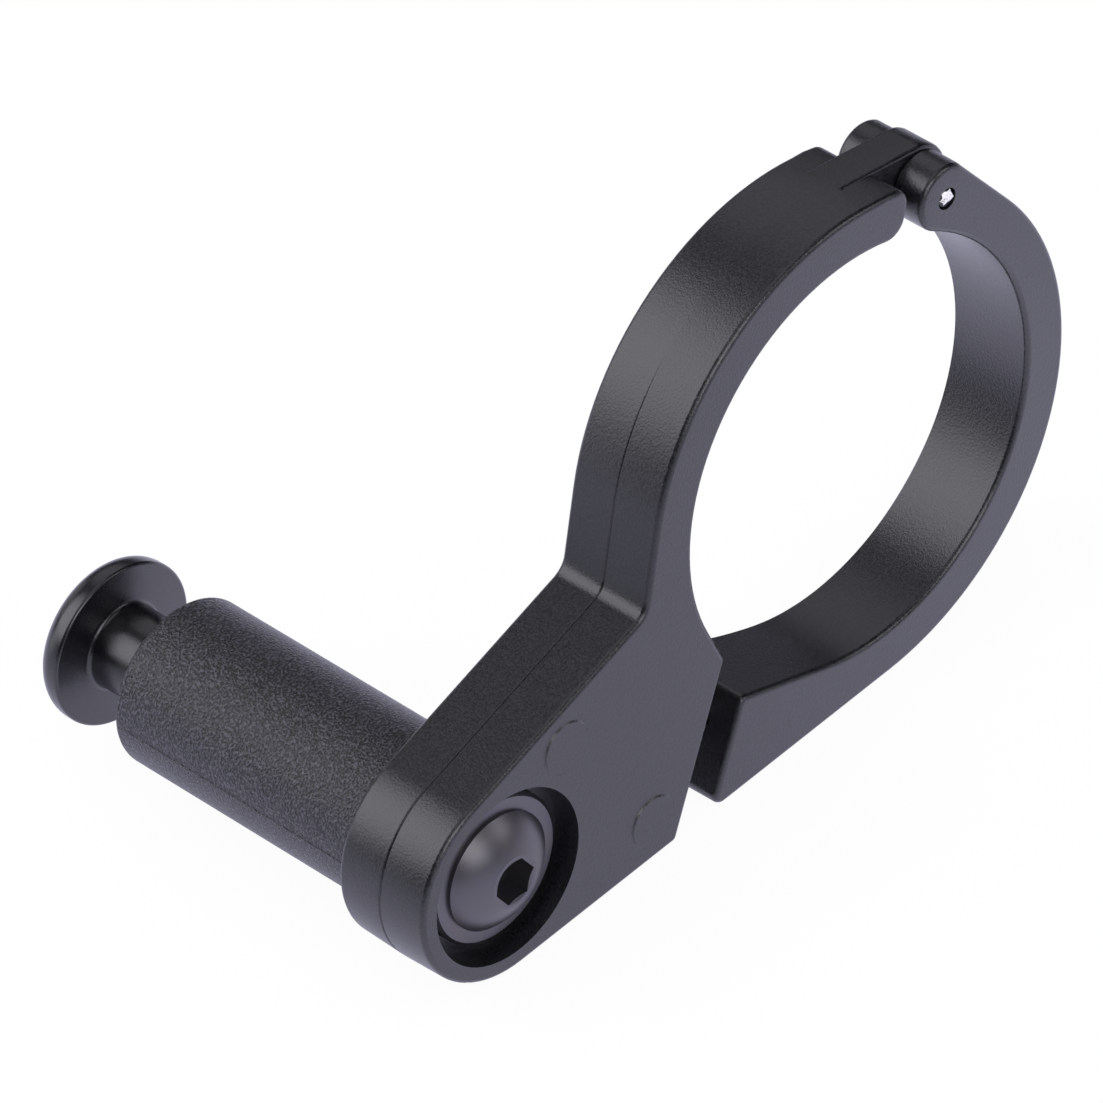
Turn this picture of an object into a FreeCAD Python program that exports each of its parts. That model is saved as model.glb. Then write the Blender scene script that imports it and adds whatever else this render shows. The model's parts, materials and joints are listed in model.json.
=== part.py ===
import FreeCAD
import Part
import Sketcher
import math
import os

# Bicycle headlight bracket: a hinged bar clamp with a lamp spool beside it.
# Frame: origin at the centre of the bar bore, halfway through the clamp's width.
# Y runs along the bar, with the screw head's face at -Y. Z is up and the lamp is at -X.

DIMENSIONS = {
    # Bar clamp
    "bore_radius": 15.9,
    "ring_wall": 3.65,
    "clamp_width": 7.9,
    "edge_round": 0.4,
    # Arm and boss
    "arm_reach": 37.15,
    "boss_radius": 7.85,
    "arm_top_slope": 15.8,
    "ring_flat_slope": 71.1,
    "arm_root_round": 1.5,
    # Split beside the bar
    "foot_offset": 4.75,
    "gap_width": 2.85,
    "gap_slope": 61.0,
    "block_lip_slope": 108.0,
    "ear_lip_slope": 160.0,
    "lip_round": 0.5,
    "ear_round": 0.8,
    # Hinge
    "knuckle_radius": 2.45,
    "hinge_angle": 55.75,
    "tongue_width": 3.1,
    "tongue_offset": 0.3,
    "tongue_rise": 0.3,
    "tongue_side_gap": 0.15,
    "tongue_end_gap": 0.5,
    "nose_angle": 67.75,
    "nose_inner_round": 1.6,
    "nose_outer_round": 1.2,
    "pin_radius": 0.75,
    "pin_press_gap": 0.01,
    "pin_running_gap": 0.05,
    "pin_end_inset": 0.15,
    "pin_chamfer": 0.12,
    # Bevel inside the strap's back edge
    "bevel_depth": 1.25,
    "bevel_rise": 1.8,
    "bevel_start": 14.0,
    "bevel_sweep": 190.0,
    # Lamp screw and its seat
    "recess_radius": 6.5,
    "recess_depth": 2.2,
    "lamp_hole_radius": 2.65,
    "flange_radius": 5.55,
    "flange_height": 1.0,
    "flange_chamfer": 0.25,
    "dome_radius": 4.35,
    "dome_height": 1.87,
    "dome_wall": 0.25,
    "dome_top_radius": 1.95,
    "lamp_hex": 3.0,
    "lamp_hex_depth": 2.0,
    "lamp_hex_lead": 1.72,
    "lamp_hex_lead_depth": 0.9,
    "lamp_screw_radius": 2.5,
    "lamp_screw_length": 25.0,
    "lamp_screw_chamfer": 0.5,
    # Marks left by the mould's ejector pins
    "mark_radius": 2.0,
    "mark_depth": 0.1,
    "low_mark_x": 22.4,
    "low_mark_z": 16.4,
    "high_mark_x": 28.7,
    "high_mark_z": 5.0,
    # Spacer and spool nut
    "spacer_radius": 6.15,
    "spacer_length": 23.1,
    "spacer_round": 0.4,
    "socket_depth": 10.0,
    "socket_gap": 0.1,
    "barrel_radius": 4.2,
    "thread_gap": 0.05,
    "thread_depth": 8.5,
    "neck_radius": 3.1,
    "neck_length": 5.65,
    "neck_fillet": 0.4,
    "disc_radius": 6.05,
    "disc_thickness": 2.25,
    "disc_front_round": 0.25,
    "disc_back_round": 1.0,
    # Clamp screw and its insert
    "insert_offset_x": 2.85,
    "insert_height": 9.45,
    "insert_radius": 2.1,
    "insert_length": 5.0,
    "insert_press_gap": 0.01,
    "insert_groove_depth": 0.2,
    "insert_groove_width": 0.8,
    "swing_gap": 0.15,
    "tip_room": 2.0,
    "clamp_grip": 9.2,
    "clamp_screw_radius": 1.5,
    "clamp_screw_length": 12.0,
    "clamp_screw_chamfer": 0.3,
    "clamp_hole_radius": 1.75,
    "clamp_head_radius": 2.85,
    "clamp_head_height": 1.65,
    "clamp_head_top_radius": 1.45,
    "clamp_hex": 2.0,
    "clamp_hex_depth": 1.0,
    "pocket_radius": 3.0,
}

# Places that several pieces share, written in terms of the driving dimensions
RING_RADIUS = "(dims.bore_radius + dims.ring_wall)"
HALF_WIDTH = "(dims.clamp_width / 2)"
BOSS_DROP = f"({RING_RADIUS} - dims.boss_radius)"
BOSS_RUN = f"sqrt(dims.arm_reach ^ 2 - {BOSS_DROP} ^ 2)"
HINGE_REACH = "(dims.bore_radius + dims.knuckle_radius)"
HINGE_X = f"({HINGE_REACH} * cos(dims.hinge_angle))"
HINGE_Z = f"({HINGE_REACH} * sin(dims.hinge_angle))"
TONGUE_RADIUS = "(dims.knuckle_radius + dims.tongue_rise)"
TONGUE_ROOT = f"(dims.hinge_angle * 1 deg + acos(({RING_RADIUS} - {TONGUE_RADIUS}) / {HINGE_REACH}))"
BLOCK_FOOT = "(dims.bore_radius + dims.foot_offset)"
EAR_FOOT = f"({BLOCK_FOOT} - dims.gap_width / sin(dims.gap_slope))"
INSERT_X = "(dims.bore_radius + dims.insert_offset_x)"
INSERT_Z = f"({RING_RADIUS} - dims.insert_height)"
SCREW_TURN = f"atan(({INSERT_Z} + {HINGE_Z}) / ({INSERT_X} + {HINGE_X}))"
SPACER_END = f"({HALF_WIDTH} + dims.spacer_length)"
DISC_FRONT = f"({SPACER_END} + dims.neck_length)"

doc = FreeCAD.newDocument("headlight_bracket")
ORIGIN_POINT = (-1, 1)
VERTICAL_AXIS = -2
TOUCH = 1e-4


def make_sheet():
    sheet = doc.addObject("Spreadsheet::Sheet", "dims")
    for row, (alias, value) in enumerate(DIMENSIONS.items(), start=1):
        sheet.set(f"A{row}", alias)
        sheet.set(f"B{row}", str(value))
        sheet.setAlias(f"B{row}", alias)
    doc.recompute()
    return sheet


def cosine(degrees):
    return math.cos(math.radians(degrees))


def sine(degrees):
    return math.sin(math.radians(degrees))


def polar(radius, degrees, centre=(0.0, 0.0)):
    return (centre[0] + radius * cosine(degrees), centre[1] + radius * sine(degrees))


def angle_of(point, centre=(0.0, 0.0)):
    return math.degrees(math.atan2(point[1] - centre[1], point[0] - centre[0]))


def crossing(p, p_angle, q, q_angle):
    """Where two lines meet, each given by a point and a direction."""
    across = cosine(p_angle) * sine(q_angle) - sine(p_angle) * cosine(q_angle)
    along = ((q[0] - p[0]) * sine(q_angle) - (q[1] - p[1]) * cosine(q_angle)) / across
    return (p[0] + along * cosine(p_angle), p[1] + along * sine(p_angle))


class Outline:
    """A sketch in a body, drawn near its final size and then held by constraints."""

    def __init__(self, body, name, role, shift=None, axis=None, angle=None):
        self.sketch = body.newObject("Sketcher::SketchObject", name)
        self.sketch.AttachmentSupport = (origin_plane(body, role), [""])
        self.sketch.MapMode = "FlatFace"
        if axis:
            start = FreeCAD.Rotation(FreeCAD.Vector(*axis), 1.0)
            self.sketch.AttachmentOffset = FreeCAD.Placement(FreeCAD.Vector(), start)
            self.sketch.setExpression("AttachmentOffset.Rotation.Angle", angle)
        for direction, size in (shift or {}).items():
            self.sketch.setExpression(f"AttachmentOffset.Base.{direction}", size)

    def line(self, p, q):
        return self.sketch.addGeometry(
            Part.LineSegment(FreeCAD.Vector(*p, 0), FreeCAD.Vector(*q, 0)), False)

    def circle(self, centre, radius):
        shape = Part.Circle(FreeCAD.Vector(*centre, 0), FreeCAD.Vector(0, 0, 1), radius)
        return self.sketch.addGeometry(shape, False)

    def arc(self, centre, radius, start, end):
        shape = Part.Circle(FreeCAD.Vector(*centre, 0), FreeCAD.Vector(0, 0, 1), radius)
        arc = Part.ArcOfCircle(shape, math.radians(start), math.radians(end))
        return self.sketch.addGeometry(arc, False)

    def hold(self, kind, *terms, size=None):
        """Add a constraint and tie its value, the last term, to an expression."""
        index = self.sketch.addConstraint(Sketcher.Constraint(kind, *terms))
        if size:
            self.sketch.setExpression(f"Constraints[{index}]", size)

    def meet(self, first, first_end, second, second_end, smooth=False):
        kind = "Tangent" if smooth else "Coincident"
        self.hold(kind, first, first_end, second, second_end)

    def centre(self, curve, x=None, y=None):
        """Hold a curve's centre at the origin, or at a place given by two expressions."""
        if x is None:
            self.hold("Coincident", curve, 3, *ORIGIN_POINT)
            return
        self.place(curve, 3, x, y)

    def place(self, curve, end, x, y):
        self.hold("DistanceX", *ORIGIN_POINT, curve, end, self.value(x), size=x)
        self.hold("DistanceY", *ORIGIN_POINT, curve, end, self.value(y), size=y)

    def radius(self, curve, size):
        self.hold("Radius", curve, self.value(size), size=size)

    def slope(self, line, size):
        self.hold("Angle", line, math.radians(self.value(size)), size=f"{size} * 1 deg")

    def value(self, expression):
        return float(self.sketch.evalExpression(expression))

    def polygon(self, corners, dome=None):
        """A closed outline whose corners are pairs of expressions.

        The side that starts at the corner numbered dome is an arc, centred on the
        vertical axis and running clockwise.
        """
        points = [(self.value(x), self.value(y)) for x, y in corners]
        sides = []
        for index, (p, q) in enumerate(zip(points, points[1:] + points[:1])):
            if index == dome:
                sides.append((self.axis_arc(q, p), 2, 1))
            else:
                sides.append((self.line(p, q), 1, 2))
        for (side, _, end), (following, start, _) in zip(sides, sides[1:] + sides[:1]):
            self.meet(side, end, following, start)
        for (side, start, _), (x, y) in zip(sides, corners):
            self.place(side, start, x, y)

    def axis_arc(self, p, q):
        """An arc from p to q with its centre on the vertical axis."""
        height = (q[0] ** 2 + q[1] ** 2 - p[0] ** 2 - p[1] ** 2) / (2 * (q[1] - p[1]))
        centre = (0.0, height)
        radius = math.hypot(p[0], p[1] - height)
        curve = self.arc(centre, radius, angle_of(p, centre), angle_of(q, centre))
        self.hold("PointOnObject", curve, 3, VERTICAL_AXIS)
        return curve

    def hexagon(self, flats):
        """A hexagon about the sketch's origin, given the distance across its flats."""
        corner = f"{flats} / sqrt(3)"
        self.polygon([(f"{corner} * cos({60 * k})", f"{corner} * sin({60 * k})")
                      for k in range(6)])

    def disc(self, x, y, size):
        curve = self.circle((self.value(x), self.value(y)), self.value(size))
        self.centre(curve, x, y)
        self.radius(curve, size)


def make_body(name):
    body = doc.addObject("PartDesign::Body", name)
    body.Label = name
    return body


def origin_plane(body, role):
    return next(f for f in body.Origin.OriginFeatures if f.Role == role)


def pad(body, outline, length):
    feature = body.newObject("PartDesign::Pad", outline.sketch.Name + "_pad")
    feature.Profile = outline.sketch
    feature.SideType = "Symmetric"
    feature.setExpression("Length", length)
    doc.recompute()
    return feature


def pocket(body, outline, length=None, both_ways=False, outward=False):
    """Cut an outline from a body, to a depth or right through."""
    before = body.Shape.Volume
    feature = body.newObject("PartDesign::Pocket", outline.sketch.Name + "_cut")
    feature.Profile = outline.sketch
    feature.SideType = "Symmetric" if both_ways else "One side"
    feature.Reversed = outward
    if length:
        feature.setExpression("Length", length)
    else:
        feature.Type = "ThroughAll"
    doc.recompute()
    assert body.Shape.Volume < before - TOUCH, feature.Name
    return feature


def turn(body, outline, cut=False, angle=None, reverse=False):
    """Revolve an outline about its own vertical axis, to add or to cut."""
    before = body.Shape.Volume if cut else 0.0
    kind = "PartDesign::Groove" if cut else "PartDesign::Revolution"
    feature = body.newObject(kind, outline.sketch.Name + "_turn")
    feature.Profile = outline.sketch
    feature.ReferenceAxis = (outline.sketch, ["V_Axis"])
    feature.Reversed = reverse
    if angle:
        feature.setExpression("Angle", angle)
    else:
        feature.Angle = 360.0
    doc.recompute()
    assert not cut or body.Shape.Volume < before - TOUCH, feature.Name
    return feature


def round_edges(body, name, chosen, size):
    """Round each edge of a body that the chosen test accepts."""
    names = [f"Edge{i}" for i, edge in enumerate(body.Shape.Edges, start=1) if chosen(edge)]
    assert names, name
    below = body.Tip
    feature = body.newObject("PartDesign::Fillet", name)
    feature.Base = (below, names)
    feature.setExpression("Radius", size)
    body.Tip = feature
    doc.recompute()
    return feature


def beside(x, z, reach=0.05):
    """A test for straight edges along Y that pass the point x, z."""
    def test(edge):
        ends = [vertex.Point for vertex in edge.Vertexes]
        if len(ends) < 2 or abs(ends[0].y - ends[1].y) < reach:
            return False
        return all(math.hypot(p.x - x, p.z - z) < reach for p in ends)
    return test


def on_level(y, keep=None):
    """A test for edges that lie wholly at one depth y."""
    def test(edge):
        points = edge.discretize(5)
        if any(abs(p.y - y) > TOUCH for p in points):
            return False
        return keep is None or keep(points)
    return test


def number(body, expression):
    return float(body.evalExpression(expression))


def make_clamp_body():
    """Fixed half of the clamp, moulded in one with the arm and the lamp boss."""
    body = make_body("clamp_body")
    size = {name: number(body, text) for name, text in {
        "bore": "dims.bore_radius", "ring": RING_RADIUS, "run": BOSS_RUN, "drop": BOSS_DROP,
        "boss": "dims.boss_radius", "arm": "dims.arm_top_slope", "flat": "dims.ring_flat_slope",
        "gap": "dims.gap_slope", "foot": BLOCK_FOOT, "lip": "dims.block_lip_slope",
        "half": HALF_WIDTH, "nose": "dims.nose_angle"}.items()}
    boss = (-size["run"], -size["drop"])
    boss_top = polar(size["boss"], size["arm"] + 90, boss)
    flat_end = polar(size["ring"], size["flat"] + 90)
    root = crossing(boss_top, size["arm"], flat_end, size["flat"])
    foot = (-size["foot"], -size["ring"])
    lip_end = polar(size["bore"], size["lip"] + 90)
    lip = crossing(lip_end, size["lip"], foot, size["gap"])
    nose_in = polar(size["bore"], size["nose"])
    nose_out = polar(size["ring"], size["nose"])

    side = Outline(body, "side", "XZ_Plane")
    base = side.line(foot, (boss[0], foot[1]))
    boss_arc = side.arc(boss, size["boss"], size["arm"] + 90, 270)
    arm_top = side.line(boss_top, root)
    ring_flat = side.line(root, flat_end)
    ring_arc = side.arc((0, 0), size["ring"], size["nose"], size["flat"] + 90)
    nose = side.line(nose_in, nose_out)
    bore_arc = side.arc((0, 0), size["bore"], size["nose"], size["lip"] + 90)
    lip_line = side.line(lip, lip_end)
    gap_face = side.line(foot, lip)
    side.meet(base, 2, boss_arc, 2, smooth=True)
    side.meet(boss_arc, 1, arm_top, 1, smooth=True)
    side.meet(arm_top, 2, ring_flat, 1)
    side.meet(ring_flat, 2, ring_arc, 2, smooth=True)
    side.meet(ring_arc, 1, nose, 2)
    side.meet(nose, 1, bore_arc, 1)
    side.meet(bore_arc, 2, lip_line, 2, smooth=True)
    side.meet(lip_line, 1, gap_face, 2)
    side.meet(gap_face, 1, base, 1)
    side.centre(ring_arc)
    side.centre(bore_arc)
    side.hold("PointOnObject", *ORIGIN_POINT, nose)
    side.slope(nose, "dims.nose_angle")
    side.radius(ring_arc, RING_RADIUS)
    side.radius(bore_arc, "dims.bore_radius")
    side.radius(boss_arc, "dims.boss_radius")
    side.hold("Horizontal", base)
    side.place(base, 1, f"-{BLOCK_FOOT}", f"-{RING_RADIUS}")
    side.hold("Distance", boss_arc, 3, *ORIGIN_POINT, number(body, "dims.arm_reach"),
              size="dims.arm_reach")
    side.slope(arm_top, "dims.arm_top_slope")
    side.slope(ring_flat, "dims.ring_flat_slope")
    side.slope(lip_line, "dims.block_lip_slope")
    side.slope(gap_face, "dims.gap_slope")
    pad(body, side, "dims.clamp_width")

    round_edges(body, "root_round", beside(*root), "dims.arm_root_round")
    round_edges(body, "nose_inner", beside(*nose_in), "dims.nose_inner_round")
    round_edges(body, "nose_outer", beside(*nose_out), "dims.nose_outer_round")
    round_edges(body, "lip_corner", beside(*lip), "dims.lip_round")
    round_edges(body, "foot_corner", beside(*foot), "dims.lip_round")
    round_edges(body, "front_edges", on_level(-size["half"]), "dims.edge_round")
    round_edges(body, "back_edges", on_level(size["half"]), "dims.edge_round")
    add_tongue(body)

    # Screw seat, through hole and ejector marks on the front face
    front = {"z": HALF_WIDTH}
    seat = Outline(body, "seat", "XZ_Plane", shift=front)
    seat.disc(f"-{BOSS_RUN}", f"-{BOSS_DROP}", "dims.recess_radius")
    pocket(body, seat, "dims.recess_depth")
    hole = Outline(body, "lamp_hole", "XZ_Plane", shift=front)
    hole.disc(f"-{BOSS_RUN}", f"-{BOSS_DROP}", "dims.lamp_hole_radius")
    pocket(body, hole)
    marks = Outline(body, "marks", "XZ_Plane", shift=front)
    for place in ("low", "high"):
        marks.disc(f"-dims.{place}_mark_x", f"-dims.{place}_mark_z", "dims.mark_radius")
    pocket(body, marks, "dims.mark_depth")

    pin_hole = Outline(body, "tongue_hole", "XZ_Plane", shift=front)
    pin_hole.disc(HINGE_X, HINGE_Z, "dims.pin_radius + dims.pin_press_gap")
    pocket(body, pin_hole)

    # Stepped bore for the insert, open to the split
    bore = clamp_axis_outline(body, "insert_bore")
    wide = "dims.insert_radius + dims.insert_press_gap"
    narrow = "dims.clamp_screw_radius + 2 * dims.swing_gap"
    deep = "dims.insert_length / 2"
    bore.polygon([
        ("0", "-dims.clamp_grip"),
        (wide, "-dims.clamp_grip"),
        (wide, deep),
        (narrow, deep),
        (narrow, f"{deep} + dims.tip_room"),
        ("0", f"{deep} + dims.tip_room"),
    ])
    turn(body, bore, cut=True)
    return body


def add_tongue(body):
    """Hinge tongue: it leaves the ring on a flat and rounds over the pin."""
    size = {name: number(body, text) for name, text in {
        "bore": "dims.bore_radius", "ring": RING_RADIUS, "reach": HINGE_REACH,
        "hinge": "dims.hinge_angle", "end": TONGUE_RADIUS, "root": TONGUE_ROOT}.items()}
    hinge = polar(size["reach"], size["hinge"])
    inward = (size["reach"] ** 2 + size["end"] ** 2 - size["bore"] ** 2)
    lower = size["hinge"] + 180 + math.degrees(
        math.acos(inward / (2 * size["reach"] * size["end"])))
    toe = polar(size["end"], lower, hinge)

    tongue = Outline(body, "tongue", "XZ_Plane", shift={"z": "-dims.tongue_offset"})
    flat = tongue.line(polar(size["ring"], size["root"]), polar(size["end"], size["root"], hinge))
    round_end = tongue.arc(hinge, size["end"], lower, size["root"] + 360)
    bore_arc = tongue.arc((0, 0), size["bore"], angle_of(toe), size["root"])
    root = tongue.line(polar(size["bore"], size["root"]), polar(size["ring"], size["root"]))
    tongue.meet(flat, 2, round_end, 2, smooth=True)
    tongue.meet(round_end, 1, bore_arc, 1)
    tongue.meet(bore_arc, 2, root, 1)
    tongue.meet(root, 2, flat, 1)
    tongue.centre(round_end, HINGE_X, HINGE_Z)
    tongue.radius(round_end, TONGUE_RADIUS)
    tongue.centre(bore_arc)
    tongue.radius(bore_arc, "dims.bore_radius")
    tongue.place(flat, 1, f"{RING_RADIUS} * cos({TONGUE_ROOT})", f"{RING_RADIUS} * sin({TONGUE_ROOT})")
    tongue.hold("PointOnObject", *ORIGIN_POINT, root)
    pad(body, tongue, "dims.tongue_width")


def clamp_axis_outline(body, name):
    """A sketch centred on the insert, with its vertical axis along the clamp screw.

    The screw is square to the line from the hinge to the insert, so that it
    enters the insert as the strap swings shut. Its tip points along +y.
    """
    shift = {"x": f"-{INSERT_X}", "y": f"-{INSERT_Z}"}
    return Outline(body, name, "XZ_Plane", shift=shift, axis=(0, 0, 1), angle=SCREW_TURN)


def lamp_axis_outline(body, name):
    """A sketch whose vertical axis is the lamp screw's, with y as in the part's frame."""
    return Outline(body, name, "XY_Plane", shift={"x": f"-{BOSS_RUN}", "z": f"-{BOSS_DROP}"})


def make_clamp_strap():
    """Swinging half of the clamp, with two hinge ears and the screw's ear."""
    body = make_body("clamp_strap")
    size = {name: number(body, text) for name, text in {
        "bore": "dims.bore_radius", "ring": RING_RADIUS, "foot": EAR_FOOT,
        "gap": "dims.gap_slope", "lip": "dims.ear_lip_slope", "half": HALF_WIDTH,
        "knuckle": "dims.knuckle_radius", "reach": HINGE_REACH,
        "hinge": "dims.hinge_angle"}.items()}
    hinge = polar(size["reach"], size["hinge"])
    foot = (-size["foot"], -size["ring"])
    lip_start = polar(size["bore"], size["lip"] + 90)
    lip = crossing(lip_start, size["lip"], foot, size["gap"])
    lean = math.degrees(math.acos((size["ring"] - size["knuckle"]) / size["reach"]))
    outward = size["hinge"] - lean
    flat_start = polar(size["ring"], outward)
    flat_end = polar(size["knuckle"], outward, hinge)

    side = Outline(body, "strap_side", "XZ_Plane")
    base = side.line(foot, (0.0, foot[1]))
    ring_arc = side.arc((0, 0), size["ring"], -90, outward)
    flat = side.line(flat_start, flat_end)
    knuckle = side.arc(hinge, size["knuckle"], outward, size["hinge"] + 180)
    bore_arc = side.arc((0, 0), size["bore"], size["lip"] + 90 - 360, size["hinge"])
    lip_line = side.line(lip_start, lip)
    ear_face = side.line(foot, lip)
    side.meet(base, 2, ring_arc, 1, smooth=True)
    side.meet(ring_arc, 2, flat, 1, smooth=True)
    side.meet(flat, 2, knuckle, 1, smooth=True)
    side.meet(knuckle, 2, bore_arc, 2, smooth=True)
    side.meet(bore_arc, 1, lip_line, 1, smooth=True)
    side.meet(lip_line, 2, ear_face, 2)
    side.meet(ear_face, 1, base, 1)
    side.centre(ring_arc)
    side.centre(bore_arc)
    side.centre(knuckle, HINGE_X, HINGE_Z)
    side.radius(ring_arc, RING_RADIUS)
    side.radius(bore_arc, "dims.bore_radius")
    side.hold("Horizontal", base)
    side.hold("DistanceX", base, 1, *ORIGIN_POINT, size["foot"], size=EAR_FOOT)
    side.slope(lip_line, "dims.ear_lip_slope")
    side.slope(ear_face, "dims.gap_slope")
    pad(body, side, "dims.clamp_width")

    slot = Outline(body, "tongue_slot", "XZ_Plane", shift={"z": "-dims.tongue_offset"})
    slot.disc(HINGE_X, HINGE_Z, f"{TONGUE_RADIUS} + dims.tongue_end_gap")
    pocket(body, slot, "dims.tongue_width + 2 * dims.tongue_side_gap", both_ways=True)

    round_edges(body, "ear_outer_corner", beside(*foot), "dims.ear_round")
    round_edges(body, "ear_inner_corner", beside(*lip), "dims.lip_round")
    round_edges(body, "strap_front_edges", on_level(-size["half"]), "dims.edge_round")
    round_edges(body, "strap_back_edges", on_level(size["half"]), "dims.edge_round")

    bevel = Outline(body, "back_bevel", "XY_Plane", axis=(0, 1, 0),
                    angle="dims.bevel_start - dims.hinge_angle")
    bevel.polygon([
        ("dims.bore_radius - dims.bevel_rise", f"{HALF_WIDTH} - dims.bevel_depth"),
        ("dims.bore_radius", f"{HALF_WIDTH} - dims.bevel_depth"),
        ("dims.bore_radius + dims.bevel_rise", HALF_WIDTH),
        ("dims.bore_radius - dims.bevel_rise", HALF_WIDTH),
    ])
    turn(body, bevel, cut=True, angle="dims.bevel_sweep")

    ear_holes = Outline(body, "ear_holes", "XZ_Plane", shift={"z": HALF_WIDTH})
    ear_holes.disc(HINGE_X, HINGE_Z, "dims.pin_radius + dims.pin_running_gap")
    pocket(body, ear_holes)

    # Screw hole through the ear and the pocket that hides the head
    hole = clamp_axis_outline(body, "screw_pocket")
    hole.polygon([
        ("0", "-2 * dims.clamp_grip"),
        ("dims.pocket_radius", "-2 * dims.clamp_grip"),
        ("dims.pocket_radius", "-dims.clamp_grip"),
        ("dims.clamp_hole_radius", "-dims.clamp_grip"),
        ("dims.clamp_hole_radius", "0"),
        ("0", "0"),
    ])
    turn(body, hole, cut=True)
    return body


def make_hinge_pin():
    """Straight pin, pressed in the tongue, on which the two ears turn."""
    body = make_body("hinge_pin")
    section = Outline(body, "pin_section", "XY_Plane", shift={"x": HINGE_X, "z": HINGE_Z})
    end = f"({HALF_WIDTH} - dims.pin_end_inset)"
    flank = f"({end} - dims.pin_chamfer)"
    nib = "dims.pin_radius - dims.pin_chamfer"
    section.polygon([
        ("0", f"-{end}"), (nib, f"-{end}"), ("dims.pin_radius", f"-{flank}"),
        ("dims.pin_radius", flank), (nib, end), ("0", end),
    ])
    turn(body, section)
    return body


def make_spacer_sleeve():
    """Tube between the boss and the spool, with a socket for the nut's barrel."""
    body = make_body("spacer_sleeve")
    section = lamp_axis_outline(body, "sleeve_section")
    socket = "dims.barrel_radius + dims.socket_gap"
    floor = f"{SPACER_END} - dims.socket_depth"
    section.polygon([
        ("dims.lamp_hole_radius", HALF_WIDTH), ("dims.spacer_radius", HALF_WIDTH),
        ("dims.spacer_radius", SPACER_END), (socket, SPACER_END), (socket, floor),
        ("dims.lamp_hole_radius", floor),
    ])
    turn(body, section)
    rim = number(body, "dims.spacer_radius")
    far = number(body, SPACER_END)
    boss = (number(body, BOSS_RUN), number(body, BOSS_DROP))

    def outer_rim(points):
        return abs(math.hypot(points[0].x + boss[0], points[0].z + boss[1]) - rim) < TOUCH

    round_edges(body, "sleeve_rim", on_level(far, outer_rim), "dims.spacer_round")
    return body


def make_lamp_nut():
    """Spool end: a disc and neck that the lamp slides onto, on a threaded barrel."""
    body = make_body("lamp_nut")
    section = lamp_axis_outline(body, "nut_section")
    start = f"({SPACER_END} - dims.socket_depth)"
    thread = "dims.lamp_screw_radius + dims.thread_gap"
    end = f"{DISC_FRONT} + dims.disc_thickness"
    section.polygon([
        (thread, start), ("dims.barrel_radius", start), ("dims.barrel_radius", SPACER_END),
        ("dims.neck_radius", SPACER_END), ("dims.neck_radius", DISC_FRONT),
        ("dims.disc_radius", DISC_FRONT), ("dims.disc_radius", end), ("0", end),
        ("0", f"{start} + dims.thread_depth"), (thread, f"{start} + dims.thread_depth"),
    ])
    turn(body, section)
    boss = (number(body, BOSS_RUN), number(body, BOSS_DROP))

    def rim(size):
        radius = number(body, size)
        return lambda points: abs(math.hypot(points[0].x + boss[0], points[0].z + boss[1])
                                  - radius) < TOUCH

    front = number(body, DISC_FRONT)
    round_edges(body, "neck_root", on_level(front, rim("dims.neck_radius")), "dims.neck_fillet")
    round_edges(body, "disc_front", on_level(front, rim("dims.disc_radius")),
                "dims.disc_front_round")
    round_edges(body, "disc_back", on_level(number(body, end), rim("dims.disc_radius")),
                "dims.disc_back_round")
    return body


def make_lamp_screw():
    """Flanged button-head screw through the boss and the sleeve into the spool nut."""
    body = make_body("lamp_screw")
    section = lamp_axis_outline(body, "lamp_screw_section")
    seat = f"(dims.recess_depth - {HALF_WIDTH})"
    step = f"({seat} - dims.flange_height)"
    crown = f"({step} - dims.dome_height)"
    tip = f"({seat} + dims.lamp_screw_length)"
    section.polygon([
        ("0", tip), ("dims.lamp_screw_radius - dims.lamp_screw_chamfer", tip),
        ("dims.lamp_screw_radius", f"{tip} - dims.lamp_screw_chamfer"),
        ("dims.lamp_screw_radius", seat), ("dims.flange_radius", seat),
        ("dims.flange_radius", f"{step} + dims.flange_chamfer"),
        ("dims.flange_radius - dims.flange_chamfer", step), ("dims.dome_radius", step),
        ("dims.dome_radius", f"{step} - dims.dome_wall"), ("dims.dome_top_radius", crown),
        ("0", crown),
    ], dome=8)
    turn(body, section)
    lead = lamp_axis_outline(body, "lamp_lead")
    lead.polygon([
        ("0", crown), ("dims.lamp_hex_lead", crown), ("0", f"{crown} + dims.lamp_hex_lead_depth"),
    ])
    turn(body, lead, cut=True)
    socket = Outline(body, "lamp_socket", "XZ_Plane",
                     shift={"x": f"-{BOSS_RUN}", "y": f"-{BOSS_DROP}", "z": f"-{crown}"})
    socket.hexagon("dims.lamp_hex")
    pocket(body, socket, "dims.lamp_hex_depth")
    return body


def make_clamp_screw():
    """Button-head screw that draws the strap's ear towards the block."""
    body = make_body("clamp_screw")
    section = clamp_axis_outline(body, "clamp_screw_section")
    seat = "-dims.clamp_grip"
    crown = f"({seat} - dims.clamp_head_height)"
    tip = f"({seat} + dims.clamp_screw_length)"
    section.polygon([
        ("0", tip), ("dims.clamp_screw_radius - dims.clamp_screw_chamfer", tip),
        ("dims.clamp_screw_radius", f"{tip} - dims.clamp_screw_chamfer"),
        ("dims.clamp_screw_radius", seat), ("dims.clamp_head_radius", seat),
        ("dims.clamp_head_top_radius", crown), ("0", crown),
    ], dome=4)
    turn(body, section)
    socket = Outline(body, "clamp_socket", "YZ_Plane", axis=(1, 0, 0), angle=f"90 deg - {SCREW_TURN}",
                     shift={"y": f"{crown} * cos({SCREW_TURN}) - {INSERT_Z}",
                            "z": f"-{crown} * sin({SCREW_TURN}) - {INSERT_X}"})
    socket.hexagon("dims.clamp_hex")
    pocket(body, socket, "dims.clamp_hex_depth")
    return body


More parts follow.
